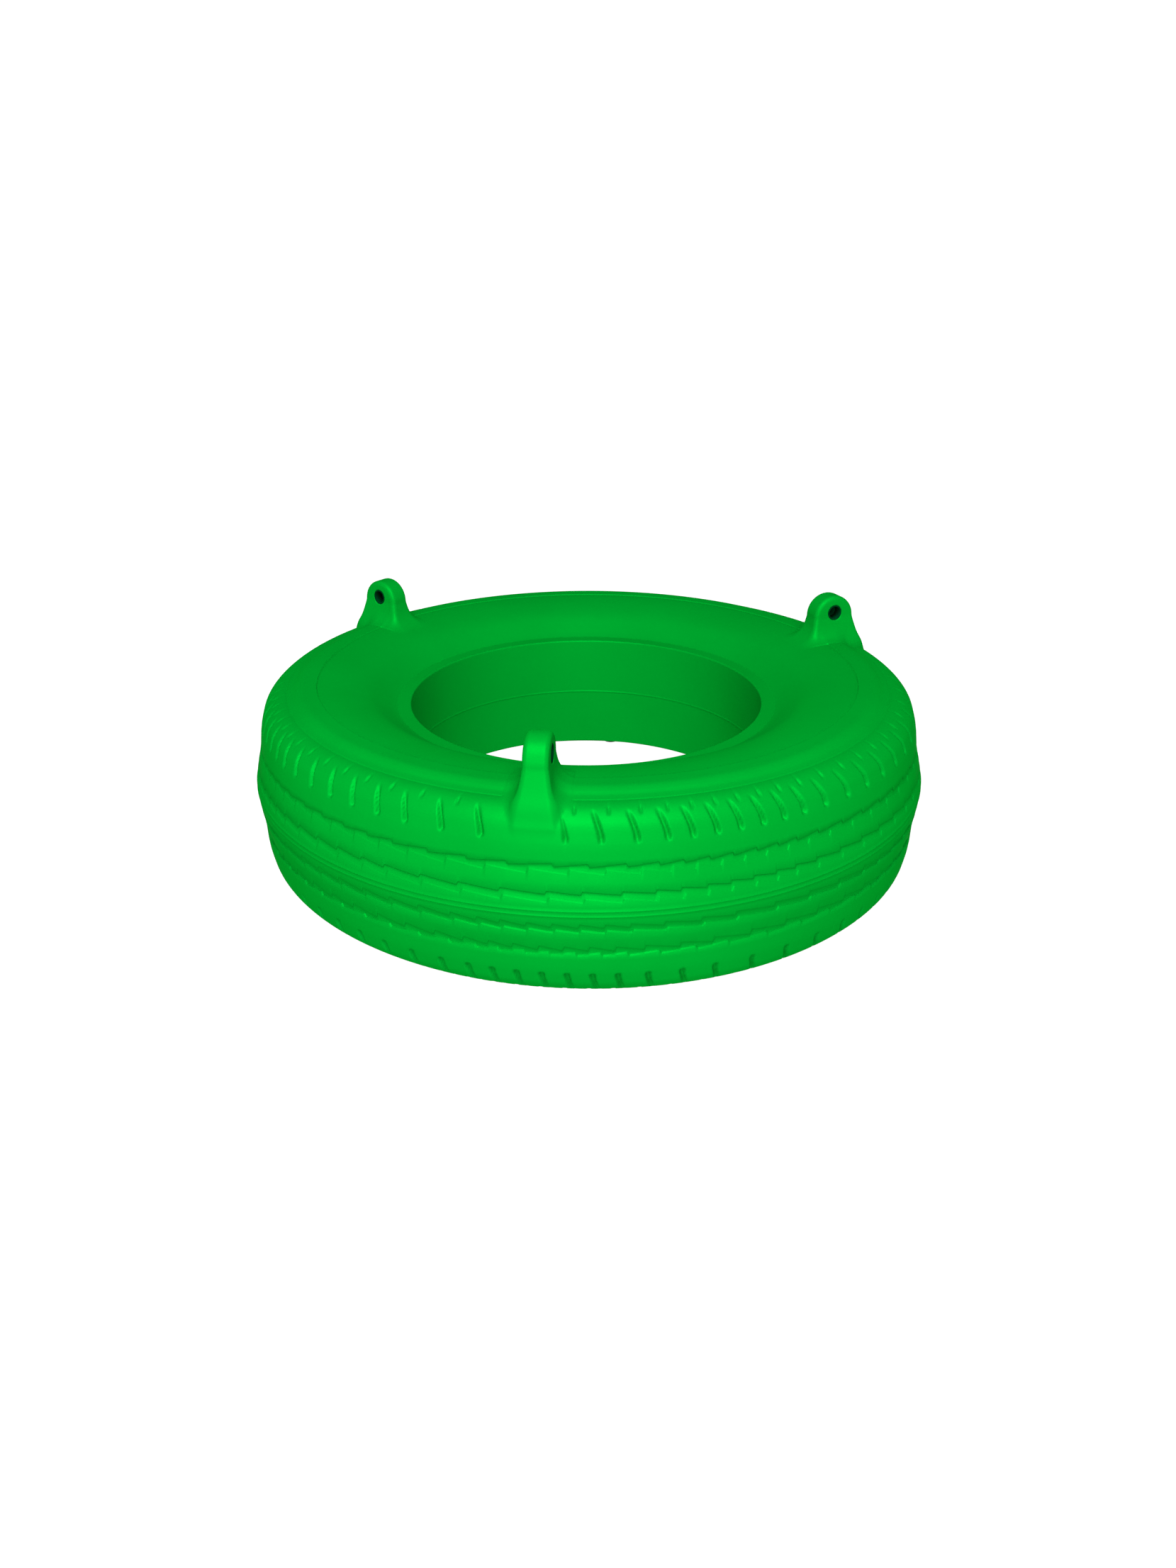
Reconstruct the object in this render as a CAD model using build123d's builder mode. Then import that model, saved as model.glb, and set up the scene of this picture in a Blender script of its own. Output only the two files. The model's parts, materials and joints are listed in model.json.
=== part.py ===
"""Tire swing seat: a hollow moulded tyre with three hanging lugs, their lined bores and a drain plug.

Millimetres, +Z up. The origin is at the centre of the plane that the seat rests on, with the hole's
axis along Z. One lug stands at -Y, and its cross bore runs along X. A height written as _z, or second
in a pair, is measured from the tyre's mid-plane.
"""

import os
from math import cos, radians, sin

from build123d import *

# The tyre's outer profile: radius, then height
TYRE_R = 333.0            # at the middle of the tread
HALF_H = 90.0             # half the height of the tyre, without its lugs
CROWN = ((331.2, 15.0), (328.0, 30.0), (326.9, 41.0), (325.5, 55.0))
TREAD_EDGE = (322.6, 67.0)
TREAD_EDGE_LEAN = 0.26    # inward slope of the tread there
SHOULDER = (311.5, 80.0)
BAND_FOOT = (292.5, 85.8)       # foot of the outer step of the band raised on each sidewall
BAND_EDGE = (291.5, 87.2)
BAND_FLAT_R = 283.0       # the band is flat from here to its inner step, and the seat rests on it
BAND_IN_R = 270.0
BAND_RISE = 1.0
SIDEWALL = ((243.0, 86.0), (219.0, 78.6), (204.0, 69.3))
LEDGE = (191.0, 61.5)     # outside of the flat ledge round the hole
HOLE_R = 177.0
HOLE_EDGE = 1.5           # rounding of the hole's edges

# Tread grooves
GROOVE_Z = (14.3, 37.4)   # heights, on each side of the mid-plane
GROOVE_FLOOR_R = (328.6, 324.4)
GROOVE_W = 8.0
GROOVE_FLOOR_W = 4.0

# The cavity inside the moulding
WALL = 6.0
CAVITY_TREAD_R = 318.0
CAVITY_TREAD_Z = 60.0
CAVITY_SHOULDER = (305.0, 74.0)
CAVITY_CREST = (270.0, 83.0)
CAVITY_SIDEWALL = (217.0, 69.0)
CAVITY_LEDGE_Z = 55.5

# The lugs
LUG_ANGLES = {"front": -90.0, "right": 30.0, "left": 150.0}
LUG_R = 285.5             # pin axis, from the axis of the seat
LUG_PIN_Z = 118.0
LUG_TOP_R = 23.0          # round top of the lug
LUG_TOP_DROP = 5.0        # the centre of the round top is this far below the pin axis
LUG_T = 22.0              # thickness of the lug along its pin
LUG_EDGE = 4.0            # rounding of the lug's edges
LUG_LEVELS = (0.0, 11.0, 22.0, 33.0, 44.0, 56.0)    # sections of the flare, below the round top's centre
FLARE_DEPTH = 44.0        # the flare ends at this depth, grown by the next three sizes
FLARE_ALONG = 8.5         # on each side along the pin
FLARE_OUT = 14.0
FLARE_IN = 12.0
FLARE_CURVE = 1.15        # power of the depth that the flare grows with: 1 is straight
LUG_CORE_TOP = 19.0       # the lug is hollow below this depth

# What lines the lugs' bores
BORE_R = 8.0              # bore through the lug, which the bushes fill
BORE_CUT_L = 28.0         # past both faces, since the lug flares in front of the bore's lower edge
BUSH_BORE_R = 6.5         # takes a 12 mm shackle pin
BUSH_GAP = 1.0            # between the two bushes of a lug
SLEEVE_OUT_R = 10.65
SLEEVE_COVER = 4.0        # plastic over each end of the sleeve
FIT_PLAY = 0.05           # radial play of the bushes and the sleeve

# The drain hole and its plug, underneath
PLUG_ANGLE = 90.0
PLUG_CENTRE_R = 232.0
PLUG_SEAT_Z = -79.5       # flat seat of the plug's head
PLUG_SEAT_R = 10.5
PLUG_HOLE_R = 6.0
PLUG_STEM_R = 5.9
PLUG_STEM_L = 7.0
PLUG_BARB_R = 6.8
PLUG_TIP_R = 4.5
PLUG_TIP_L = 5.0          # from the barb's shoulder to the tip
PLUG_HEAD_R = 9.0
PLUG_HEAD_H = 2.5
PLUG_HEAD_EDGE = 1.0

SECTION = Plane(origin=(0, 0, HALF_H), x_dir=(1, 0, 0), z_dir=(0, -1, 0))
LUG_TOP_CENTRE_Z = HALF_H + LUG_PIN_Z - LUG_TOP_DROP    # above the plane that the seat rests on


def tyre_half(side):
    """Edges of the outer profile from the tread's middle to the hole wall's middle: side is 1 up, -1 down."""
    def at(x, y):
        return (x, side * y)

    band_foot_in = (BAND_IN_R - BAND_RISE / 2, HALF_H - BAND_RISE)
    edge_tangent = at(-TREAD_EDGE_LEAN, 1.0)
    crown = [at(*point) for point in CROWN]
    Spline((TYRE_R, 0), *crown, at(*TREAD_EDGE), tangents=[at(0.0, 1.0), edge_tangent])
    Spline(at(*TREAD_EDGE), at(*SHOULDER), at(*BAND_FOOT), tangents=[edge_tangent, at(-1.0, 0.25)])
    Line(at(*BAND_FOOT), at(*BAND_EDGE))
    Spline(at(*BAND_EDGE), at(BAND_FLAT_R, HALF_H), tangents=[at(-1.0, 0.6), at(-1.0, 0.0)])
    Line(at(BAND_FLAT_R, HALF_H), at(BAND_IN_R, HALF_H))
    Line(at(BAND_IN_R, HALF_H), at(*band_foot_in))
    sidewall = [at(*point) for point in (band_foot_in, *SIDEWALL, LEDGE)]
    Spline(*sidewall, tangents=[at(-1.0, -0.04), at(-1.0, -0.4)])
    Line(at(*LEDGE), at(HOLE_R + HOLE_EDGE, LEDGE[1]))
    RadiusArc(at(HOLE_R + HOLE_EDGE, LEDGE[1]), at(HOLE_R, LEDGE[1] - HOLE_EDGE), side * HOLE_EDGE)
    Line(at(HOLE_R, LEDGE[1] - HOLE_EDGE), (HOLE_R, 0))


def groove_outline(height, floor_r):
    """Outline of one tread groove, wider at its mouth than at its floor."""
    Polyline(
        (TYRE_R + 1.0, height - GROOVE_W / 2),
        (TYRE_R + 1.0, height + GROOVE_W / 2),
        (floor_r, height + GROOVE_FLOOR_W / 2),
        (floor_r, height - GROOVE_FLOOR_W / 2),
        close=True,
    )


def cavity_half(side):
    """Edges of the cavity's section from its outermost point to the back of the hole's wall."""
    inner_r = HOLE_R + WALL
    Line((CAVITY_TREAD_R, 0), (CAVITY_TREAD_R, side * CAVITY_TREAD_Z))
    Spline(
        (CAVITY_TREAD_R, side * CAVITY_TREAD_Z),
        (CAVITY_SHOULDER[0], side * CAVITY_SHOULDER[1]),
        (CAVITY_CREST[0], side * CAVITY_CREST[1]),
        (CAVITY_SIDEWALL[0], side * CAVITY_SIDEWALL[1]),
        (inner_r, side * CAVITY_LEDGE_Z),
        tangents=[(0, side), (-1, -side * 0.3)],
    )
    Line((inner_r, side * CAVITY_LEDGE_Z), (inner_r, 0))


def lug_size(depth, inset):
    """Reach inwards and outwards and half width along the pin at a depth below the round top's centre."""
    growth = min(depth / FLARE_DEPTH, 1.0) ** FLARE_CURVE
    inward = LUG_TOP_R + FLARE_IN * growth - inset
    outward = LUG_TOP_R + FLARE_OUT * growth - inset
    return inward, outward, LUG_T / 2 + FLARE_ALONG * growth - inset


def lug_level(depth, inset=0.0):
    """Level plane at a depth below the round top's centre, centred on the lug's section there."""
    inward, outward, _ = lug_size(depth, inset)
    return Plane((LUG_R + (outward - inward) / 2, 0, LUG_TOP_CENTRE_Z - depth))


def lug_rectangle(depth, inset=0.0):
    """The lug's section at a depth below the round top's centre."""
    inward, outward, half_width = lug_size(depth, inset)
    RectangleRounded(inward + outward, 2 * half_width, LUG_EDGE)


def pin_location(angle):
    """Middle of a lug's bore, with local Z along the pin."""
    turn = radians(angle)
    centre = (LUG_R * cos(turn), LUG_R * sin(turn), HALF_H + LUG_PIN_Z)
    return Plane(origin=centre, x_dir=(0, 0, 1), z_dir=(-sin(turn), cos(turn), 0)).location


def plug_location():
    """Centre of the drain hole's flat seat."""
    turn = radians(PLUG_ANGLE)
    return Location((PLUG_CENTRE_R * cos(turn), PLUG_CENTRE_R * sin(turn), HALF_H + PLUG_SEAT_Z))


FOOT = (Align.CENTER, Align.CENTER, Align.MIN)
TOP_DOWN = (Align.CENTER, Align.CENTER, Align.MAX)

# One lug at angle 0, solid, and the hollow that the moulding leaves inside its foot
with BuildPart() as lug_blank:
    for depth in LUG_LEVELS:
        with BuildSketch(lug_level(depth)):
            lug_rectangle(depth)
    loft()
    with BuildSketch(lug_level(0)):
        lug_rectangle(0)
        split(bisect_by=Plane.YZ, keep=Keep.TOP)
    revolve(axis=Axis((LUG_R, 0, LUG_TOP_CENTRE_Z), (0, -1, 0)), revolution_arc=180)

with BuildPart() as lug_core:
    for depth in (LUG_CORE_TOP, *LUG_LEVELS[3:]):
        with BuildSketch(lug_level(depth, WALL)):
            lug_rectangle(depth, WALL)
    loft()

# The hollow moulding
with BuildPart() as tire_shell:
    with BuildSketch(SECTION):
        with BuildLine():
            tyre_half(1)
            tyre_half(-1)
        make_face()
    revolve(axis=Axis.Z)
    with BuildSketch(SECTION):
        for height, floor_r in zip(GROOVE_Z, GROOVE_FLOOR_R):
            for side in (1, -1):
                with BuildLine():
                    groove_outline(side * height, floor_r)
                make_face()
    revolve(axis=Axis.Z, mode=Mode.SUBTRACT)
    for angle in LUG_ANGLES.values():
        add(lug_blank.part, rotation=(0, 0, angle))
    with BuildSketch(SECTION):
        with BuildLine():
            cavity_half(1)
            cavity_half(-1)
        make_face()
    revolve(axis=Axis.Z, mode=Mode.SUBTRACT)
    for angle in LUG_ANGLES.values():
        add(lug_core.part, rotation=(0, 0, angle), mode=Mode.SUBTRACT)
    for angle in LUG_ANGLES.values():
        with Locations(pin_location(angle)):
            Cylinder(BORE_R, BORE_CUT_L, mode=Mode.SUBTRACT)
            Cylinder(SLEEVE_OUT_R + FIT_PLAY, LUG_T - 2 * SLEEVE_COVER, mode=Mode.SUBTRACT)
    with Locations(plug_location()):
        Cylinder(PLUG_SEAT_R, HALF_H + PLUG_SEAT_Z, align=TOP_DOWN, mode=Mode.SUBTRACT)
        Cylinder(PLUG_HOLE_R, 2 * WALL, align=FOOT, mode=Mode.SUBTRACT)
tire_shell.part.label = "tire_shell"

pieces = [tire_shell.part]

# A steel sleeve across each lug, inside the plastic, and a bush pushed into the bore from each face
bush_length = (LUG_T - BUSH_GAP) / 2
for lug, angle in LUG_ANGLES.items():
    with BuildPart(pin_location(angle)) as lug_sleeve:
        Cylinder(SLEEVE_OUT_R, LUG_T - 2 * SLEEVE_COVER)
        Cylinder(BORE_R, LUG_T, mode=Mode.SUBTRACT)
    lug_sleeve.part.label = f"lug_sleeve_{lug}"
    pieces.append(lug_sleeve.part)
    for end, side in (("a", -1), ("b", 1)):
        with BuildPart(pin_location(angle)) as lug_bush:
            with Locations((0, 0, side * (BUSH_GAP + bush_length) / 2)):
                Cylinder(BORE_R - FIT_PLAY, bush_length)
                Cylinder(BUSH_BORE_R, LUG_T, mode=Mode.SUBTRACT)
        lug_bush.part.label = f"lug_bush_{lug}_{end}"
        pieces.append(lug_bush.part)

# The plug: a round head in its seat, a stem through the wall, and a barb and a cone inside the cavity
plug_axis = Axis(plug_location().position, (0, 0, 1))
with BuildPart() as drain_plug:
    with BuildSketch(Plane(origin=plug_axis.position, x_dir=(1, 0, 0), z_dir=(0, -1, 0))):
        with BuildLine():
            Polyline(
                (0, -PLUG_HEAD_H),
                (PLUG_HEAD_R - PLUG_HEAD_EDGE, -PLUG_HEAD_H),
                (PLUG_HEAD_R, PLUG_HEAD_EDGE - PLUG_HEAD_H),
                (PLUG_HEAD_R, 0),
                (PLUG_STEM_R, 0),
                (PLUG_STEM_R, PLUG_STEM_L),
                (PLUG_BARB_R, PLUG_STEM_L),
                (PLUG_TIP_R, PLUG_STEM_L + PLUG_TIP_L),
                (0, PLUG_STEM_L + PLUG_TIP_L),
                close=True,
            )
        make_face()
    revolve(axis=plug_axis)
drain_plug.part.label = "drain_plug"
pieces.append(drain_plug.part)

os.makedirs("parts", exist_ok=True)
for piece in pieces:
    export_step(piece, f"parts/{piece.label}.step")
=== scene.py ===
"""Looks of the tire swing seat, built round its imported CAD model.

One mesh stands for the hollow moulding: its tread is two copies of one half pattern, the lower turned
over, and the three lugs grow out of the upper shoulder with fillets. The section, the tread pattern and
the lugs are in millimetres, the camera's and the lights' places in metres, and named angles in degrees.
"""

import json
from math import atan2, cos, degrees, pi, radians, sin

import bpy
import numpy as np
from mathutils import Matrix, Vector


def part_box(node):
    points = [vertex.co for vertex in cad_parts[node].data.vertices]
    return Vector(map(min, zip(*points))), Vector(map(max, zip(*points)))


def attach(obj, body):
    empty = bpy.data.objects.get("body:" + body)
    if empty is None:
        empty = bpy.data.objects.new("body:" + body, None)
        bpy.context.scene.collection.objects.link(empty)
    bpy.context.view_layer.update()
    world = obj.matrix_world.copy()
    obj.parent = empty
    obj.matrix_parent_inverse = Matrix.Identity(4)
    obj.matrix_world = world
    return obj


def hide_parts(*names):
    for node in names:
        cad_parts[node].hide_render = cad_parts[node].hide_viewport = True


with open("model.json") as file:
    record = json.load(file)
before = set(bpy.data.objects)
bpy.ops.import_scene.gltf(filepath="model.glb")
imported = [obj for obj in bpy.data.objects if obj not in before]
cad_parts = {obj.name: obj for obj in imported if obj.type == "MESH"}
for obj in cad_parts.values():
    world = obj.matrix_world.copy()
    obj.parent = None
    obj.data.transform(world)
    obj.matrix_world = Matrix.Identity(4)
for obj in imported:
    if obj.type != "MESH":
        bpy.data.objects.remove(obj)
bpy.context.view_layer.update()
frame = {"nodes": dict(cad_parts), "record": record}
bores = [mount for mount in frame["record"]["mounts"] if mount["kind"] == "bore"]
MM = 0.001

# The camera: where it stands from the tyre's middle, and how far it looks past that point
CAMERA_AZIMUTH = -82.457
CAMERA_ELEVATION = 22.848
CAMERA_DISTANCE = 1.4192
CAMERA_PAN = -2.508
CAMERA_TILT = 7.909
CAMERA_ROLL = 0.059
CAMERA_LENS_MM = 31.221
CAMERA_SHIFT = (0.03988, -0.14152)

# The tyre's section: radius, then height from its mid-plane
TYRE_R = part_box("tire_shell")[1].x / MM
HALF_H = 90.0
CROWN = ((331.2, 15.0), (328.0, 30.0), (326.9, 41.0), (325.5, 55.0))
TREAD_EDGE = (322.6, 67.0)
TREAD_EDGE_LEAN = 0.26
SHOULDER = (311.5, 80.0)
BAND_FOOT = (293.5, 85.7)
BAND_EDGE = (291.0, 87.4)
BAND_FLAT_R = 283.0
BAND_IN_R = 270.0
BAND_RISE = 1.0
SIDEWALL = ((243.0, 86.0), (219.0, 78.6), (204.0, 69.3))
LEDGE = (191.0, 61.5)
HOLE_R = 177.0
HOLE_EDGE = 1.5
RING_R = 300.0           # fine ring pressed into the shoulder
RING_DEPTH = 0.4
RING_HALF_W = 0.9
BAND_CREASE = 0.9        # depth of the line pressed along the inner edge of the band

# Pattern of the upper half of the tread: block lengths in degrees, in the order they run
BLOCK_LENGTHS = {"a": 3.7, "b": 4.4, "c": 5.1, "d": 6.1}
BLOCK_RUN = "aaaabcccccddddccbaaaaaabccccccddddccbaaaaaabcccccdddccbaaaaaaabccccddddcbaaa"
FIRST_BLOCK = -154.35
TURNED_ABOUT = -74.35    # the lower half is the upper one turned over about the level line at this angle

# Each groove: the height of its lower and upper edge, the change of height over one block, and the share
# of a block at which the edge steps back
GROOVES = (
    {"lower": (12.7, -3.5, -0.46), "upper": (18.9, -2.7, -0.54)},
    {"lower": (35.8, -4.0, 0.11), "upper": (38.4, 3.0, -0.36)},
)
GROOVE_SECTION = (       # share of the way from the lower edge to the upper one, and depth
    (-0.07, 0.0), (0.0, 0.2), (0.05, 0.6), (0.12, 0.9), (0.5, 1.3),
    (0.84, 1.6), (0.92, 1.3), (0.97, 0.4), (1.03, 0.0),
)

# Slots across the shoulder, as distances over the surface from the mid-plane
SIPE_START = 61.5
SIPE_END = 88.0
SIPE_FADE = 15.0
SIPE_FLOOR_HALF_W = 1.0
SIPE_HALF_W = 3.2
SIPE_DEPTH = 4.0
SIPE_LEAN = 1.35         # degrees, from its lower end to its upper end
NOTCH_START = 83.0
NOTCH_END = 90.0
NOTCH_HALF_W = 2.0
NOTCH_DEPTH = 1.6
SIPE_CLEAR_OF_LUG = 4.6  # degrees

PARTING_Z = 2.3          # height of the two mould lines round the tread
PARTING_RISE = 0.45
HOLE_PARTING_RISE = 0.6
HOLE_PARTING_HALF_W = 1.3

# Lugs: sizes as in the CAD, with their angles taken from the record's bores
LUG_R = 285.5
LUG_PIN_Z = 118.0
LUG_TOP_R = 23.0
LUG_TOP_DROP = 5.0       # the centre of the round top is this far below the pin axis
LUG_HALF_T = 11.0
LUG_EDGE = 4.6
FLARE_DEPTH = 44.0
FLARE_ALONG = 8.5
FLARE_OUT = 14.0
FLARE_IN = 12.0
FLARE_CURVE = 1.15
FILLET_TOP = 17.0        # reach of the blend between lug and tyre, at the crest and at the foot
FILLET_FOOT = 2.0
FILLET_FADE = (30.0, 48.0)
LUG_SIGHT_DEPTH = 59.0   # depth under the pin of the point that sees the whole skin of a lug
LUG_SIGHT_REACH = 130.0  # farther from that point than any of the lug's skin
GUIDE_DROP = 20.0        # how far below the round top the lines over a lug reach its side
SLOT_CLEAR = 3.0         # slots start to fade in this far from a lug, and are full after the fade
SLOT_FADE = 6.0
LUG_PATCH = 5.6          # half the angle of the tyre's skin that a lug replaces
LUG_RINGS = 54
BORE_R = 8.0
BORE_MOUTH = 0.8
BUSH_R = 7.95
BUSH_GAP = 1.0
BUSH_EDGE = 0.6

# Seat of the drain plug, sunk from the underside: heights over the ground
SEAT_R = 10.5
SEAT_TOP = 10.5
SEAT_STEM_R = 6.0
SEAT_STEM_TOP = 18.0

# The mesh
COLUMN = 0.2             # degrees between columns on the tread and shoulder
COARSE = 5               # one column in this many goes on down the sidewall
COLUMNS = round(360 / COLUMN)
PATCH_COLUMNS = round(LUG_PATCH / COLUMN)
SIPE_ROW = 1.6
SHOULDER_ROW = 3.2
SIDEWALL_ROW = 4.0
PATCH_FOOT_S = 57.0      # rows between these two are level all the way round, and lugs replace part of them
PATCH_TOP_R = 240.0


# ---------------------------------------------------------------- section

def unit(vector):
    vector = np.asarray(vector, float)
    return vector / np.linalg.norm(vector)


def smooth_run(points, start, end, steps=20):
    """Points on a smooth line through the given ones, leaving and arriving in the given directions."""
    points = np.array(points, float)
    chords = np.linalg.norm(np.diff(points, axis=0), axis=1)
    slopes = np.diff(points, axis=0) / chords[:, None]
    tangents = [unit(start)]
    for k in range(1, len(points) - 1):
        tangents.append(unit(slopes[k - 1] * chords[k] + slopes[k] * chords[k - 1]))
    tangents.append(unit(end))
    t = np.linspace(0, 1, steps)[:, None]
    runs = []
    for k, chord in enumerate(chords):
        runs.append(
            (2 * t**3 - 3 * t**2 + 1) * points[k]
            + (t**3 - 2 * t**2 + t) * chord * tangents[k]
            + (3 * t**2 - 2 * t**3) * points[k + 1]
            + (t**3 - t**2) * chord * tangents[k + 1]
        )
    return np.concatenate(runs)


def section_outline():
    """The upper half of the section's outline, from the tread's middle to the middle of the hole's wall."""
    edge_direction = (-TREAD_EDGE_LEAN, 1)
    band_foot_in = (BAND_IN_R - BAND_RISE / 2, HALF_H - BAND_RISE)
    corner = np.linspace(0, pi / 2, 7)
    hole_edge = np.stack([
        HOLE_R + HOLE_EDGE * (1 - np.sin(corner)),
        LEDGE[1] - HOLE_EDGE * (1 - np.cos(corner)),
    ], axis=1)
    outline = np.concatenate([
        smooth_run([(TYRE_R, 0), *CROWN, TREAD_EDGE], (0, 1), edge_direction),
        smooth_run([TREAD_EDGE, SHOULDER, BAND_FOOT], edge_direction, (-1, 0.38)),
        smooth_run([BAND_EDGE, (BAND_FLAT_R, HALF_H)], (-1, 0.5), (-1, 0)),
        [(BAND_IN_R, HALF_H)],
        smooth_run([band_foot_in, *SIDEWALL, LEDGE], (-1, -0.04), (-1, -0.4)),
        hole_edge,
        [(HOLE_R, 0.0)],
    ])
    apart = np.linalg.norm(np.diff(outline, axis=0), axis=1) > 1e-6
    return outline[np.concatenate([[True], apart])]


OUTLINE = section_outline()
OUTLINE_S = np.concatenate([[0], np.cumsum(np.linalg.norm(np.diff(OUTLINE, axis=0), axis=1))])


def surface_at(s):
    """Radius, height and outward direction (radial, upward) at a distance over the surface."""
    r = np.interp(s, OUTLINE_S, OUTLINE[:, 0])
    z = np.interp(s, OUTLINE_S, OUTLINE[:, 1])
    step = 0.6
    along_r = np.interp(s + step, OUTLINE_S, OUTLINE[:, 0]) - np.interp(s - step, OUTLINE_S, OUTLINE[:, 0])
    along_z = np.interp(s + step, OUTLINE_S, OUTLINE[:, 1]) - np.interp(s - step, OUTLINE_S, OUTLINE[:, 1])
    length = np.hypot(along_r, along_z)
    return r, z, along_z / length, -along_r / length


def distance_at(r, z):
    """Distance over the surface of the outline's point nearest to a radius and height."""
    return OUTLINE_S[np.argmin(np.hypot(OUTLINE[:, 0] - r, OUTLINE[:, 1] - z))]


def distance_at_height(z):
    """Distance over the surface of the point on the tread at a height."""
    rising = np.argmax(OUTLINE[:, 1]) + 1
    return np.interp(z, OUTLINE[:rising, 1], OUTLINE_S[:rising])


def distance_at_radius(r):
    """Distance over the surface of the point on the shoulder or sidewall at a radius."""
    past_tread = OUTLINE[:, 1] > TREAD_EDGE[1]
    return np.interp(-r, -OUTLINE[past_tread, 0], OUTLINE_S[past_tread])


# ---------------------------------------------------------------- tread pattern

def smoothstep(x):
    x = np.clip(x, 0, 1)
    return x * x * (3 - 2 * x)


def block_starts():
    lengths = np.array([BLOCK_LENGTHS[name] for name in BLOCK_RUN])
    lengths *= 360 / lengths.sum()
    return FIRST_BLOCK + np.concatenate([[0], np.cumsum(lengths[:-1])]), lengths


BLOCKS, LENGTHS = block_starts()


def along_block(angle, phase):
    """Share of a block passed at each angle, counted from steps that stand at a phase of every block."""
    steps = BLOCKS + phase * LENGTHS
    steps = np.concatenate([steps - 360, steps, steps + 360, steps + 720])
    index = np.searchsorted(steps, angle, side="right") - 1
    return (angle - steps[index]) / (steps[index + 1] - steps[index])


def groove_edge(angle, edge):
    height, change, phase = edge
    return height + change * along_block(angle, phase)


def angle_between(angle, other):
    return (angle - other + 180) % 360 - 180


def shoulder_cut(angle, s, lugs):
    """Depth of the slots and notches across the shoulder. Slots that would run under a lug are left out."""
    r = np.interp(s, OUTLINE_S, OUTLINE[:, 0])
    depth = np.zeros(np.broadcast(angle, s).shape)
    up = np.clip((s - SIPE_START) / (SIPE_END - SIPE_START), 0, 1)
    slot_fade = 1 - smoothstep((s - SIPE_END + SIPE_FADE) / SIPE_FADE)
    slot_half_w = SIPE_HALF_W * (1 - 0.45 * up)
    notch_fade = smoothstep((s - NOTCH_START + 2) / 4) * (1 - smoothstep((s - NOTCH_END + 2) / 4))
    for start, length in zip(BLOCKS, LENGTHS):
        if any(abs(angle_between(start, lug)) < SIPE_CLEAR_OF_LUG for lug in lugs):
            continue
        side = angle_between(angle, start - SIPE_LEAN * up**1.3) * radians(1) * r
        away = np.hypot(side, np.minimum(s - SIPE_START, 0))
        wall = (slot_half_w - away) / (slot_half_w - SIPE_FLOOR_HALF_W)
        depth = np.maximum(depth, SIPE_DEPTH * slot_fade * smoothstep(wall))
        if any(abs(angle_between(start + length / 2, lug)) < SIPE_CLEAR_OF_LUG + 2 for lug in lugs):
            continue
        side = angle_between(angle, start + length / 2 - SIPE_LEAN) * radians(1) * r
        depth = np.maximum(depth, NOTCH_DEPTH * notch_fade * smoothstep(1 - np.abs(side) / NOTCH_HALF_W))
    return depth


# ---------------------------------------------------------------- rows of the half tyre

def spaced(start, end, spacing):
    """Even distances from start up to, but not at, end."""
    return np.linspace(start, end, max(round((end - start) / spacing), 1), endpoint=False)


def tread_rows(angles):
    """Rows that follow the two grooves: distance over the surface and depth, for each angle."""
    rows = []

    def level(s, depth=0.0):
        rows.append((np.full_like(angles, s), np.full_like(angles, depth)))

    level(0.0)
    for aside, share in ((-0.8, 0), (-0.4, 0.6), (0, 1), (0.4, 0.6), (0.8, 0)):
        level(PARTING_Z + aside, -share * PARTING_RISE)
    level(5.5)
    for groove in GROOVES:
        lower = distance_at_height(groove_edge(angles, groove["lower"]))
        upper = distance_at_height(groove_edge(angles, groove["upper"]))
        for share, depth in GROOVE_SECTION:
            rows.append((lower + share * (upper - lower), np.full_like(angles, depth)))
        level(groove["upper"][0] + 6.5)
    level(51.0)
    return rows


def level_rows():
    """Distances over the surface of the rows above the grooves, as far as the sidewall keeps every column."""
    ring = distance_at_radius(RING_R)
    foot, edge = distance_at(*BAND_FOOT), distance_at(*BAND_EDGE)
    flat, inner = distance_at(BAND_FLAT_R, HALF_H), distance_at(BAND_IN_R, HALF_H)
    inner_foot = distance_at(BAND_IN_R - BAND_RISE / 2, HALF_H - BAND_RISE)
    rows = [
        spaced(PATCH_FOOT_S, NOTCH_END + 2.5, SIPE_ROW),
        [ring - RING_HALF_W, ring - RING_HALF_W / 2, ring, ring + RING_HALF_W / 2, ring + RING_HALF_W],
        spaced(ring + 2 * RING_HALF_W, foot - 0.5, 2.0),
        [foot - 0.5, foot, edge, edge + 0.5],
        spaced(edge + 2, flat, 2.4),
        spaced(flat, inner - 0.5, SHOULDER_ROW),
        [inner - 0.4, inner, inner_foot, inner_foot + 0.5],
        spaced(inner_foot + 2.5, distance_at_radius(PATCH_TOP_R), SHOULDER_ROW),
        [distance_at_radius(PATCH_TOP_R), distance_at_radius(PATCH_TOP_R) + SHOULDER_ROW],
    ]
    return np.concatenate(rows)


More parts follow.
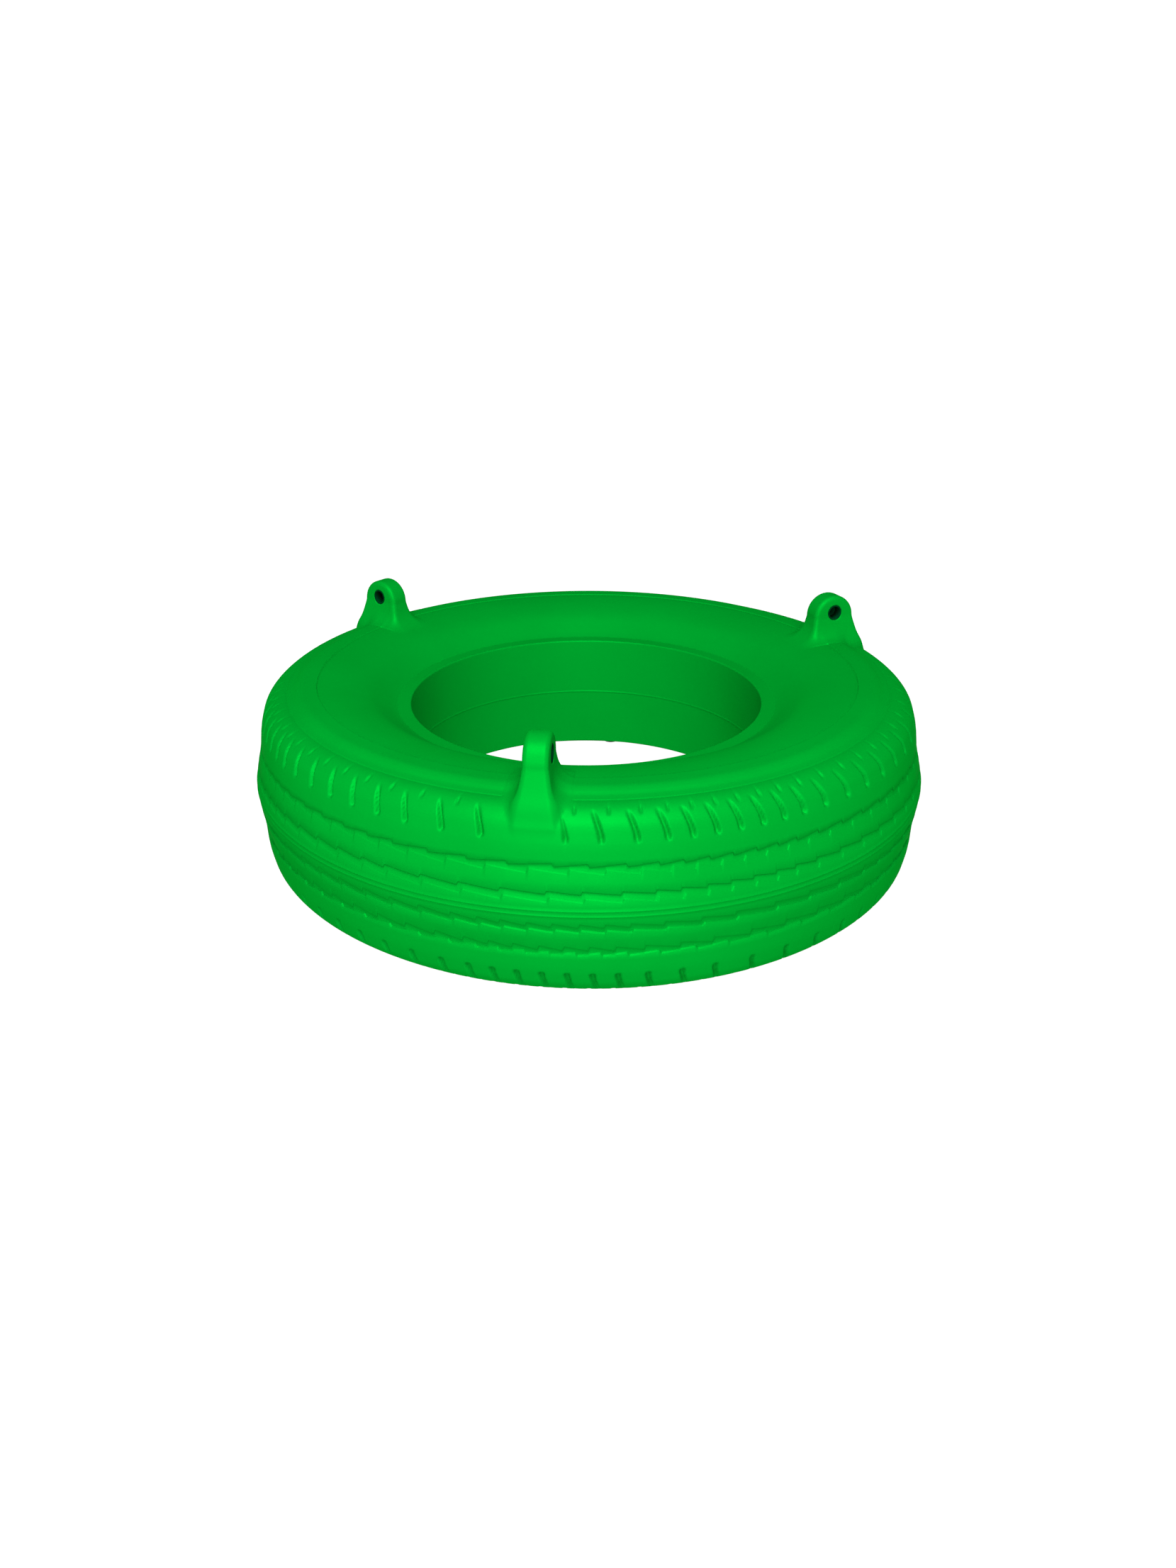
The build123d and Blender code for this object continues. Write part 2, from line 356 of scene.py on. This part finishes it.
def inner_rows():
    """Distances over the surface of the rows with fewer columns, down to the middle of the hole's wall."""
    ledge, edge_in = distance_at(*LEDGE), distance_at(HOLE_R + HOLE_EDGE, LEDGE[1])
    edge_down, middle = distance_at(HOLE_R, LEDGE[1] - HOLE_EDGE), OUTLINE_S[-1]
    rows = [
        spaced(distance_at_radius(PATCH_TOP_R) + 2 * SHOULDER_ROW, ledge - 1.5, SIDEWALL_ROW),
        [ledge - 0.5, ledge, ledge + 0.5],
        spaced(ledge + 3, edge_in - 0.5, SIDEWALL_ROW),
        [edge_in - 0.4],
        spaced(edge_in, edge_down, HOLE_EDGE / 3),
        [edge_down, edge_down + 0.6],
        spaced(edge_down + 4, middle - 4, 7.0),
        middle - HOLE_PARTING_HALF_W * np.array([1.5, 1.0, 0.6, 0.25, 0.0]),
    ]
    return np.concatenate(rows)


def fine_grid(angles, lugs):
    """Distances over the surface and depths of every row that has all the columns."""
    rows = tread_rows(angles)
    ring = distance_at_radius(RING_R)
    band_foot = distance_at(BAND_IN_R - BAND_RISE / 2, HALF_H - BAND_RISE)
    for s in level_rows():
        cut = shoulder_cut(angles, np.full_like(angles, s), lugs)
        pressed = RING_DEPTH * max(0.0, 1 - abs(s - ring) / RING_HALF_W)
        if s == band_foot:
            pressed = BAND_CREASE
        rows.append((np.full_like(angles, s), cut + pressed))
    return np.array([s for s, _ in rows]), np.array([depth for _, depth in rows])


def placed(angles, s, depth, side):
    """Points of the surface, sunk by a depth, as x, y, z. side is 1 on the upper half, -1 on the lower."""
    r, z, out_r, out_z = surface_at(s)
    r, z = r - depth * out_r, z - depth * out_z
    turn = np.radians(angles)
    return np.stack(np.broadcast_arrays(r * np.cos(turn), r * np.sin(turn), HALF_H + side * z), axis=-1)


# ---------------------------------------------------------------- lugs

def lug_distance(u, v, w):
    """Distance from one lug's skin, negative inside. u runs along the pin, v outwards, w up from the pin."""
    above = w + LUG_TOP_DROP
    share = np.clip(-above / FLARE_DEPTH, 0, 1)
    reach = LUG_TOP_R + np.where(v > 0, FLARE_OUT, FLARE_IN) * share**FLARE_CURVE
    past_v = np.where(above > 0, np.hypot(v, above), np.abs(v)) - reach + LUG_EDGE
    past_u = np.abs(u) - (LUG_HALF_T + FLARE_ALONG * share**FLARE_CURVE) + LUG_EDGE
    outside = np.hypot(np.maximum(past_u, 0), np.maximum(past_v, 0))
    return outside + np.minimum(np.maximum(past_u, past_v), 0) - LUG_EDGE


def tyre_distance(r, z):
    """Distance from the plain tyre's skin, negative inside, and the distance over the surface below it."""
    past_patch = 16.0
    patch_top_s = distance_at_radius(PATCH_TOP_R)
    near = (OUTLINE_S > PATCH_FOOT_S - past_patch) & (OUTLINE_S < patch_top_s + past_patch)
    start, along = OUTLINE[near][:-1], np.diff(OUTLINE[near], axis=0)
    s_start, length = OUTLINE_S[near][:-1], np.linalg.norm(along, axis=1)
    dr, dz = r[:, None] - start[:, 0], z[:, None] - start[:, 1]
    share = np.clip((dr * along[:, 0] + dz * along[:, 1]) / length**2, 0, 1)
    off_r, off_z = dr - share * along[:, 0], dz - share * along[:, 1]
    gap = np.hypot(off_r, off_z)
    nearest = np.argmin(gap, axis=1)
    rows = np.arange(len(r))
    side = along[nearest, 1] * off_r[rows, nearest] - along[nearest, 0] * off_z[rows, nearest]
    return np.sign(side) * gap[rows, nearest], s_start[nearest] + share[rows, nearest] * length[nearest]


def blended_distance(points):
    """Distance from the skin of a lug and the tyre together, with a fillet where they meet."""
    u, v, w = points.T
    to_lug = lug_distance(u, v, w)
    to_tyre, _ = tyre_distance(np.hypot(LUG_R + v, u), LUG_PIN_Z + w)
    fade = smoothstep((-w - FILLET_FADE[0]) / (FILLET_FADE[1] - FILLET_FADE[0]))
    width = FILLET_TOP + (FILLET_FOOT - FILLET_TOP) * fade
    share = np.maximum(width - np.abs(to_lug - to_tyre), 0) / width
    return np.minimum(to_lug, to_tyre) - share**2 * width / 4


def guide_path(border):
    """From a border point over the tyre to the lug's side, up it, and over the top to its middle."""
    out = border[:2] / np.hypot(*border[:2])
    above = np.concatenate([
        np.linspace(-GUIDE_DROP, 0, 12),
        LUG_TOP_R * np.sin(np.linspace(0.1, pi / 2, 16)),
    ])
    share = np.clip(-above / FLARE_DEPTH, 0, 1)
    flare = FLARE_OUT if out[1] > 0 else FLARE_IN
    reach_v = np.sqrt(LUG_TOP_R**2 - np.clip(above, 0, LUG_TOP_R) ** 2) + flare * share**FLARE_CURVE
    reach_u = LUG_HALF_T + FLARE_ALONG * share**FLARE_CURVE
    reach = np.minimum(reach_u / max(abs(out[0]), 1e-9), reach_v / max(abs(out[1]), 1e-9))
    wall = np.stack([out[0] * reach, out[1] * reach, above - LUG_TOP_DROP], axis=1)
    return np.concatenate([[border], wall, [(0, 0, LUG_TOP_R - LUG_TOP_DROP)]])


def lug_rings(border):
    """Rings of points from the border of the replaced skin to the top of the lug, on the blended skin."""
    share = np.linspace(0, 1, LUG_RINGS + 1)[1:]
    sight = np.array([0, 0, -LUG_SIGHT_DEPTH])
    aims = []
    for point in border:
        path = guide_path(point)
        passed = np.concatenate([[0], np.cumsum(np.linalg.norm(np.diff(path, axis=0), axis=1))])
        aims.append(np.stack([np.interp(share * passed[-1], passed, path[:, k]) for k in range(3)], axis=1))
    aims = np.array(aims).transpose(1, 0, 2).reshape(-1, 3)
    rays = aims - sight
    rays /= np.linalg.norm(rays, axis=1)[:, None]
    near, far = np.zeros(len(rays)), np.full(len(rays), LUG_SIGHT_REACH)
    for _ in range(20):
        middle = (near + far) / 2
        inside = blended_distance(sight + rays * middle[:, None]) < 0
        near, far = np.where(inside, middle, near), np.where(inside, far, middle)
    return (sight + rays * near[:, None]).reshape(LUG_RINGS, len(border), 3)


def lug_to_tyre(points, angle):
    """Points in a lug's own axes, in the tyre's."""
    turn = radians(angle)
    u, v, w = points[..., 0], points[..., 1], points[..., 2]
    x = (LUG_R + v) * cos(turn) - u * sin(turn)
    y = (LUG_R + v) * sin(turn) + u * cos(turn)
    return np.stack([x, y, HALF_H + LUG_PIN_Z + w], axis=-1)


def sink_slots(points, angle, lugs):
    """Carries the shoulder's slots on into the skin round a lug, as far as the fillet."""
    u, v, w = points.T
    r, z = np.hypot(LUG_R + v, u), LUG_PIN_Z + w
    _, s = tyre_distance(r, z)
    keep = smoothstep((lug_distance(u, v, w) - SLOT_CLEAR) / SLOT_FADE)
    around = angle + np.degrees(np.arctan2(u, LUG_R + v))
    depth = keep * shoulder_cut(around, s, lugs)
    _, _, out_r, out_z = surface_at(s)
    turn = np.arctan2(u, LUG_R + v)
    sunk = np.stack([u - depth * out_r * np.sin(turn), v - depth * out_r * np.cos(turn), w - depth * out_z])
    return sunk.T


# ---------------------------------------------------------------- mesh of the moulding

def ring_quads(lower, upper):
    """Quads between two closed rows of vertices, facing out when the second row lies on the left."""
    after_lower, after_upper = np.roll(lower, -1), np.roll(upper, -1)
    return np.stack([lower, after_lower, after_upper, upper], axis=1).tolist()


def ring_narrowing(fine, coarse):
    """Faces between a closed row and one with COARSE times fewer vertices."""
    faces = []
    half = COARSE // 2
    for k in range(len(coarse)):
        near, far = coarse[k], coarse[(k + 1) % len(coarse)]
        group = [fine[(COARSE * k + n) % len(fine)] for n in range(COARSE + 1)]
        faces += [[group[n], group[n + 1], near] for n in range(half)]
        faces.append([group[half], group[half + 1], far, near])
        faces += [[group[n], group[n + 1], far] for n in range(half + 1, COARSE)]
    return faces


def turned_over(faces):
    return [face[::-1] for face in faces]


class MouldingMesh:
    """Collects the vertices and faces of the moulding."""

    def __init__(self):
        self.points = []
        self.count = 0
        self.faces = []

    def add(self, points):
        """Adds points and returns their numbers, in the same arrangement."""
        points = np.asarray(points)
        shape = points.shape[:-1]
        numbers = np.arange(self.count, self.count + int(np.prod(shape))).reshape(shape)
        self.points.append(points.reshape(-1, 3))
        self.count += numbers.size
        return numbers


def lug_patch(mesh, grid, s, angle, lugs):
    """Replaces the skin round one lug: returns which quads of the grid it takes the place of."""
    rows = np.nonzero(s[:, 0] >= PATCH_FOOT_S - 1e-6)[0]
    foot = rows[0]
    top = rows[np.argmin(np.abs(s[rows, 0] - distance_at_radius(PATCH_TOP_R)))]
    middle = round(angle / COLUMN)
    columns = np.arange(middle - PATCH_COLUMNS, middle + PATCH_COLUMNS + 1) % COLUMNS
    border = np.concatenate([
        grid[foot, columns],
        grid[foot + 1:top, columns[-1]],
        grid[top, columns[::-1]],
        grid[foot + 1:top, columns[0]][::-1],
    ])
    plain = placed(
        np.concatenate([
            (np.arange(len(columns)) - PATCH_COLUMNS) * COLUMN,
            np.full(top - foot - 1, LUG_PATCH),
            (PATCH_COLUMNS - np.arange(len(columns))) * COLUMN,
            np.full(top - foot - 1, -LUG_PATCH),
        ]),
        np.concatenate([
            np.full(len(columns), s[foot, 0]), s[foot + 1:top, 0],
            np.full(len(columns), s[top, 0]), s[foot + 1:top, 0][::-1],
        ]),
        0.0, 1,
    )
    local = np.stack([plain[:, 1], plain[:, 0] - LUG_R, plain[:, 2] - HALF_H - LUG_PIN_Z], axis=1)
    rings = lug_rings(local)
    sunk = sink_slots(rings[:-1].reshape(-1, 3), angle, lugs).reshape(LUG_RINGS - 1, -1, 3)
    numbers = mesh.add(lug_to_tyre(sunk, angle))
    summit = mesh.add(lug_to_tyre(rings[-1, :1], angle))[0]
    previous = border
    for ring in numbers:
        mesh.faces += ring_quads(previous, ring)
        previous = ring
    after = np.roll(previous, -1)
    mesh.faces += [[a, b, summit] for a, b in zip(previous.tolist(), after.tolist())]
    taken = np.zeros((len(s) - 1, COLUMNS), bool)
    taken[foot:top, columns[:-1][:, None]] = True
    return taken


def half_tyre(mesh, side, lugs, middle_row=None, hole_row=None):
    """One half of the skin, from the tread's middle to the hole's: returns both of those rows."""
    columns = np.arange(COLUMNS)
    angles = columns * COLUMN
    pattern_angles = angles if side > 0 else (2 * TURNED_ABOUT - angles) % 360
    s, depth = fine_grid(pattern_angles, lugs)
    grid = mesh.add(placed(angles, s, depth, side)[1 if middle_row is not None else 0:])
    if middle_row is not None:
        grid = np.vstack([middle_row[None], grid])
    taken = np.zeros((len(s) - 1, COLUMNS), bool)
    for angle in lugs:
        taken |= lug_patch(mesh, grid, s, angle, lugs)
    faces = []
    for row in range(len(s) - 1):
        quads = ring_quads(grid[row], grid[row + 1])
        faces += [quad for quad, gone in zip(quads, taken[row]) if not gone]
    coarse_angles = angles[::COARSE]
    inner_s = inner_rows()
    ridge = -HOLE_PARTING_RISE * smoothstep(1 - (inner_s[-1] - inner_s) / HOLE_PARTING_HALF_W)
    inner = placed(coarse_angles[None], inner_s[:, None], ridge[:, None], side)
    inner = mesh.add(inner[:-1] if hole_row is not None else inner)
    if hole_row is not None:
        inner = np.vstack([inner, hole_row[None]])
    faces += ring_narrowing(grid[-1], inner[0])
    for row in range(len(inner) - 1):
        faces += ring_quads(inner[row], inner[row + 1])
    mesh.faces += faces if side > 0 else turned_over(faces)
    return grid[0], inner[-1]


def make_mesh(name, points, faces):
    """A smooth-shaded mesh object from points in metres."""
    mesh = bpy.data.meshes.new(name)
    mesh.from_pydata([tuple(p) for p in np.asarray(points).tolist()], [], faces)
    mesh.polygons.foreach_set("use_smooth", [True] * len(mesh.polygons))
    piece = bpy.data.objects.new(name, mesh)
    bpy.context.scene.collection.objects.link(piece)
    return piece


def turned_mesh(name, profile, placing, segments=96):
    """A closed ring or disc turned from (radius, along) corners, placed with its axis along local Z."""
    profile = np.array(profile, float) * MM
    turn = np.arange(segments) * 2 * pi / segments
    points, rows = [], []
    for radius, along in profile:
        ring = [placing @ Vector((radius * cos(t), radius * sin(t), along)) for t in turn]
        if radius == 0:
            ring = ring[:1]
        rows.append(range(len(points), len(points) + len(ring)))
        points += ring
    faces = []
    for lower, upper in zip(rows, rows[1:] + rows[:1]):
        for k in range(segments):
            after = (k + 1) % segments
            below = [lower[k % len(lower)], lower[after % len(lower)]]
            above = [upper[after % len(upper)], upper[k % len(upper)]]
            face = list(dict.fromkeys(below + above))
            if len(face) > 2:
                faces.append(face)
    return make_mesh(name, [tuple(p) for p in points], faces)


def cut_away(piece, cutters):
    """Takes the cutters out of the piece, and removes them."""
    for cutter in cutters:
        cut = piece.modifiers.new("cut", "BOOLEAN")
        cut.operation = "DIFFERENCE"
        cut.solver = "MANIFOLD"
        cut.object = cutter
    shown = piece.evaluated_get(bpy.context.evaluated_depsgraph_get())
    mesh = bpy.data.meshes.new_from_object(shown)
    mesh.name = piece.name
    piece.modifiers.clear()
    piece.data = mesh
    for cutter in cutters:
        bpy.data.objects.remove(cutter)


def pin_placing(mount):
    """Local axes at the middle of a bore, with Z along it."""
    axis = Vector(mount["axis"])
    across = Vector((0, 0, 1)).cross(axis)
    turn = Matrix((across, axis.cross(across), axis)).transposed().to_4x4()
    return Matrix.Translation(Vector(mount["pos_m"])) @ turn


def make_moulding():
    """The hollow moulding's skin, with the bushes' bores and the plug's seat cut out of it."""
    mesh = MouldingMesh()
    lugs = [degrees(atan2(mount["pos_m"][1], mount["pos_m"][0])) for mount in bores]
    middle_row, hole_row = half_tyre(mesh, 1, [round(angle / COLUMN) * COLUMN for angle in lugs])
    half_tyre(mesh, -1, [], middle_row, hole_row)
    piece = make_mesh("tyre_moulding", np.concatenate(mesh.points) * MM, mesh.faces)
    reach = LUG_HALF_T + 6
    mouth = BORE_R + BORE_MOUTH
    cutters = []
    for mount in bores:
        profile = (
            (0, -reach), (mouth + 3, -reach), (mouth, -LUG_HALF_T - 0.1), (BORE_R, BORE_MOUTH - LUG_HALF_T),
            (BORE_R, LUG_HALF_T - BORE_MOUTH), (mouth, LUG_HALF_T + 0.1), (mouth + 3, reach), (0, reach),
        )
        cutters.append(turned_mesh("cutter", profile, pin_placing(mount)))
    plug_low, plug_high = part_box("drain_plug")
    seat = Matrix.Translation(((plug_low.x + plug_high.x) / 2, (plug_low.y + plug_high.y) / 2, 0))
    profile = (
        (0, -5), (SEAT_R + 2, -5), (SEAT_R + 1.2, 4.3), (SEAT_R, 5.6), (SEAT_R, SEAT_TOP - 0.6),
        (SEAT_R - 0.6, SEAT_TOP), (SEAT_STEM_R, SEAT_TOP), (SEAT_STEM_R, SEAT_STEM_TOP), (0, SEAT_STEM_TOP),
    )
    cutters.append(turned_mesh("cutter", profile, seat))
    cut_away(piece, cutters)
    return piece


def make_bush(node, mount, side):
    """A plain bush with rounded ends, pressed in from one face of its lug."""
    bore = mount["dims"]["r_mm"]
    inner, outer = BUSH_GAP / 2, LUG_HALF_T
    bevel = BUSH_EDGE * (1 - cos(pi / 4))
    profile = [
        (bore, inner), (bore, outer - BUSH_EDGE), (bore + bevel, outer - bevel), (bore + BUSH_EDGE, outer),
        (BUSH_R - 0.3, outer), (BUSH_R, outer - 0.3), (BUSH_R, inner),
    ]
    corners = [(radius, side * along) for radius, along in profile]
    if side > 0:
        corners.reverse()
    return turned_mesh(node + "_liner", corners, pin_placing(mount), segments=64)


# ---------------------------------------------------------------- materials

def new_material(name):
    """A material, with its node tree and its Principled shader."""
    material = bpy.data.materials.new(name)
    material.use_nodes = True
    tree = material.node_tree
    shader = tree.nodes["Principled BSDF"]
    return material, tree, shader


def add_noise(tree, scale, detail=3.0, roughness=0.5):
    """Noise over the object's own coordinates."""
    where = tree.nodes.new("ShaderNodeTexCoord")
    noise = tree.nodes.new("ShaderNodeTexNoise")
    noise.inputs["Scale"].default_value = scale
    noise.inputs["Detail"].default_value = detail
    noise.inputs["Roughness"].default_value = roughness
    tree.links.new(where.outputs["Object"], noise.inputs["Vector"])
    return noise.outputs["Fac"]


def add_range(tree, value, low, high, from_low=0.3, from_high=0.7):
    """A value mapped from noise's usual range on to low to high."""
    mapped = tree.nodes.new("ShaderNodeMapRange")
    mapped.inputs["From Min"].default_value = from_low
    mapped.inputs["From Max"].default_value = from_high
    mapped.inputs["To Min"].default_value = low
    mapped.inputs["To Max"].default_value = high
    tree.links.new(value, mapped.inputs["Value"])
    return mapped.outputs["Result"]


def add_mix(tree, factor, first, second):
    """A colour between two others."""
    mix = tree.nodes.new("ShaderNodeMix")
    mix.data_type = "RGBA"
    mix.inputs["A"].default_value = (*first, 1)
    mix.inputs["B"].default_value = (*second, 1)
    tree.links.new(factor, mix.inputs["Factor"])
    return mix.outputs["Result"]


def add_bump(tree, height, strength, distance, before=None):
    """A normal roughened by a height, on top of an earlier one if there is any."""
    bump = tree.nodes.new("ShaderNodeBump")
    bump.inputs["Strength"].default_value = strength
    bump.inputs["Distance"].default_value = distance
    tree.links.new(height, bump.inputs["Height"])
    if before is not None:
        tree.links.new(before, bump.inputs["Normal"])
    return bump.outputs["Normal"]


def green_plastic():
    """Moulded polyethylene: green all through, with a faint moulding texture and dull patches."""
    material, tree, shader = new_material("green_plastic")
    shade = add_range(tree, add_noise(tree, 9.0), 0, 1)
    colour = add_mix(tree, shade, (0.0, 0.193, 0.0134), (0.0, 0.207, 0.0149))
    tree.links.new(colour, shader.inputs["Base Color"])
    gloss = add_range(tree, add_noise(tree, 14.0, detail=6.0), 0.38, 0.48)
    tree.links.new(gloss, shader.inputs["Roughness"])
    ripple = add_bump(tree, add_noise(tree, 60.0, detail=2.0), 0.25, 0.0008)
    peel = add_bump(tree, add_noise(tree, 900.0, detail=2.0), 0.12, 0.0002, before=ripple)
    tree.links.new(peel, shader.inputs["Normal"])
    shader.inputs["Metallic"].default_value = 0.17
    shader.inputs["Specular IOR Level"].default_value = 0.0
    shader.inputs["Specular Tint"].default_value = (0.0, 1.0, 0.1, 1)
    return material


def black_nylon():
    """Dull nylon, near black, with a little painted green bounce light from the green plastic round it."""
    material, tree, shader = new_material("black_nylon")
    shade = add_range(tree, add_noise(tree, 250.0), 0, 1)
    # near-black nylon colour; its green tint is painted bounce light from the green plastic round the bush
    colour = add_mix(tree, shade, (0.0, 0.018, 0.005), (0.0, 0.026, 0.007))
    tree.links.new(colour, shader.inputs["Base Color"])
    tree.links.new(add_range(tree, add_noise(tree, 500.0), 0.45, 0.6), shader.inputs["Roughness"])
    tree.links.new(add_bump(tree, add_noise(tree, 1500.0), 0.15, 0.0001), shader.inputs["Normal"])
    shader.inputs["Specular IOR Level"].default_value = 0.0
    return material


def plug_plastic():
    """Soft black plastic with a fine grain."""
    material, tree, shader = new_material("plug_plastic")
    shade = add_range(tree, add_noise(tree, 180.0), 0, 1)
    colour = add_mix(tree, shade, (0.010, 0.011, 0.010), (0.022, 0.023, 0.022))
    tree.links.new(colour, shader.inputs["Base Color"])
    tree.links.new(add_range(tree, add_noise(tree, 300.0), 0.4, 0.6), shader.inputs["Roughness"])
    tree.links.new(add_bump(tree, add_noise(tree, 1200.0), 0.3, 0.0002), shader.inputs["Normal"])
    return material


def plated_steel():
    """Zinc-plated steel with uneven gloss."""
    material, tree, shader = new_material("plated_steel")
    shade = add_range(tree, add_noise(tree, 120.0), 0, 1)
    colour = add_mix(tree, shade, (0.50, 0.51, 0.52), (0.66, 0.66, 0.65))
    tree.links.new(colour, shader.inputs["Base Color"])
    tree.links.new(add_range(tree, add_noise(tree, 350.0), 0.22, 0.42), shader.inputs["Roughness"])
    tree.links.new(add_bump(tree, add_noise(tree, 1400.0), 0.2, 0.0001), shader.inputs["Normal"])
    shader.inputs["Metallic"].default_value = 1.0
    return material


def floor_paper():
    """White paper lit through from below."""
    material, tree, shader = new_material("floor_paper")
    shade = add_range(tree, add_noise(tree, 3.0), 0, 1)
    colour = add_mix(tree, shade, (0.10, 0.10, 0.10), (0.12, 0.12, 0.12))
    tree.links.new(colour, shader.inputs["Base Color"])
    tree.links.new(add_bump(tree, add_noise(tree, 400.0), 0.05, 0.0002), shader.inputs["Normal"])
    shader.inputs["Roughness"].default_value = 0.8
    shader.inputs["Specular IOR Level"].default_value = 0.0
    shader.inputs["Emission Color"].default_value = (1, 1, 1, 1)
    shader.inputs["Emission Strength"].default_value = 1.0
    return material


# ---------------------------------------------------------------- camera, light, floor

def make_camera():
    """The camera stands round the tyre's middle, and looks a little above and beside it."""
    azimuth, elevation = radians(CAMERA_AZIMUTH), radians(CAMERA_ELEVATION)
    back = Vector((cos(azimuth) * cos(elevation), sin(azimuth) * cos(elevation), sin(elevation)))
    middle = Vector((0, 0, HALF_H * MM))
    facing = (-back).to_track_quat("-Z", "Y").to_matrix()
    right, up, forward = facing.col[0], facing.col[1], -facing.col[2]
    pan, tilt, roll = radians(CAMERA_PAN), radians(CAMERA_TILT), radians(CAMERA_ROLL)
    ahead = forward * cos(pan) * cos(tilt) + right * sin(pan) * cos(tilt) + up * sin(tilt)
    side = ahead.cross(up).normalized()
    above = side.cross(ahead)
    rolled_side = side * cos(roll) + above * sin(roll)
    rolled_above = above * cos(roll) - side * sin(roll)
    data = bpy.data.cameras.new("camera")
    data.lens = CAMERA_LENS_MM
    data.sensor_width = 36.0
    data.shift_x, data.shift_y = CAMERA_SHIFT
    camera = bpy.data.objects.new("camera", data)
    turn = Matrix((rolled_side, rolled_above, -ahead)).transposed().to_4x4()
    camera.matrix_world = Matrix.Translation(middle + back * CAMERA_DISTANCE) @ turn
    bpy.context.scene.collection.objects.link(camera)
    bpy.context.scene.camera = camera


def make_light(name, azimuth, elevation, distance, size, watts):
    """A square soft light that faces the seat."""
    data = bpy.data.lights.new(name, "AREA")
    data.shape = "SQUARE"
    data.size = size
    data.energy = watts
    light = bpy.data.objects.new(name, data)
    azimuth, elevation = radians(azimuth), radians(elevation)
    back = Vector((cos(azimuth) * cos(elevation), sin(azimuth) * cos(elevation), sin(elevation)))
    light.location = Vector((0, 0, 0.1)) + back * distance
    light.rotation_mode = "QUATERNION"
    light.rotation_quaternion = (-back).to_track_quat("-Z", "Y")
    bpy.context.scene.collection.objects.link(light)


def make_world():
    """A white surround that darkens towards the ceiling."""
    world = bpy.data.worlds.new("studio")
    bpy.context.scene.world = world
    world.use_nodes = True
    tree = world.node_tree
    background = tree.nodes["Background"]
    where = tree.nodes.new("ShaderNodeTexCoord")
    split = tree.nodes.new("ShaderNodeSeparateXYZ")
    ramp = tree.nodes.new("ShaderNodeValToRGB")
    tree.links.new(where.outputs["Generated"], split.inputs["Vector"])
    tree.links.new(split.outputs["Z"], ramp.inputs["Fac"])
    tree.links.new(ramp.outputs["Color"], background.inputs["Color"])
    ramp.color_ramp.elements[0].position = 0.16
    ramp.color_ramp.elements[0].color = (1.05, 1.05, 1.05, 1)
    ramp.color_ramp.elements[1].position = 0.30
    ramp.color_ramp.elements[1].color = (0.15, 0.15, 0.15, 1)
    background.inputs["Strength"].default_value = 1.0


def make_floor():
    """A wide sheet of white paper under the seat."""
    half = 12.0
    corners = [(-half, -half, 0), (half, -half, 0), (half, half, 0), (-half, half, 0)]
    floor = make_mesh("floor", corners, [[0, 1, 2, 3]])
    floor.data.materials.append(floor_paper())


make_camera()
bpy.context.scene.view_settings.view_transform = "Standard"
make_world()
make_light("high", -84, 56, 2.6, 1.8, 130)
make_light("low", -86, 14, 2.6, 1.8, 56)
make_floor()

moulding = make_moulding()
moulding.data.materials.clear()
moulding.data.materials.append(green_plastic())
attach(moulding, "root")
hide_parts("tire_shell")

nylon = black_nylon()
for mount in bores:
    lug = mount["name"].removeprefix("lug_bore_")
    for end, side in (("a", -1), ("b", 1)):
        node = f"lug_bush_{lug}_{end}"
        bush = make_bush(node, mount, side)
        bush.data.materials.append(nylon)
        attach(bush, "root")
        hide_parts(node)


def dress(node, material):
    """Gives a CAD node that stays its own material."""
    mesh = frame["nodes"][node].data
    mesh.materials.clear()
    mesh.materials.append(material)


steel = plated_steel()
for mount in bores:
    dress("lug_sleeve_" + mount["name"].removeprefix("lug_bore_"), steel)
dress("drain_plug", plug_plastic())
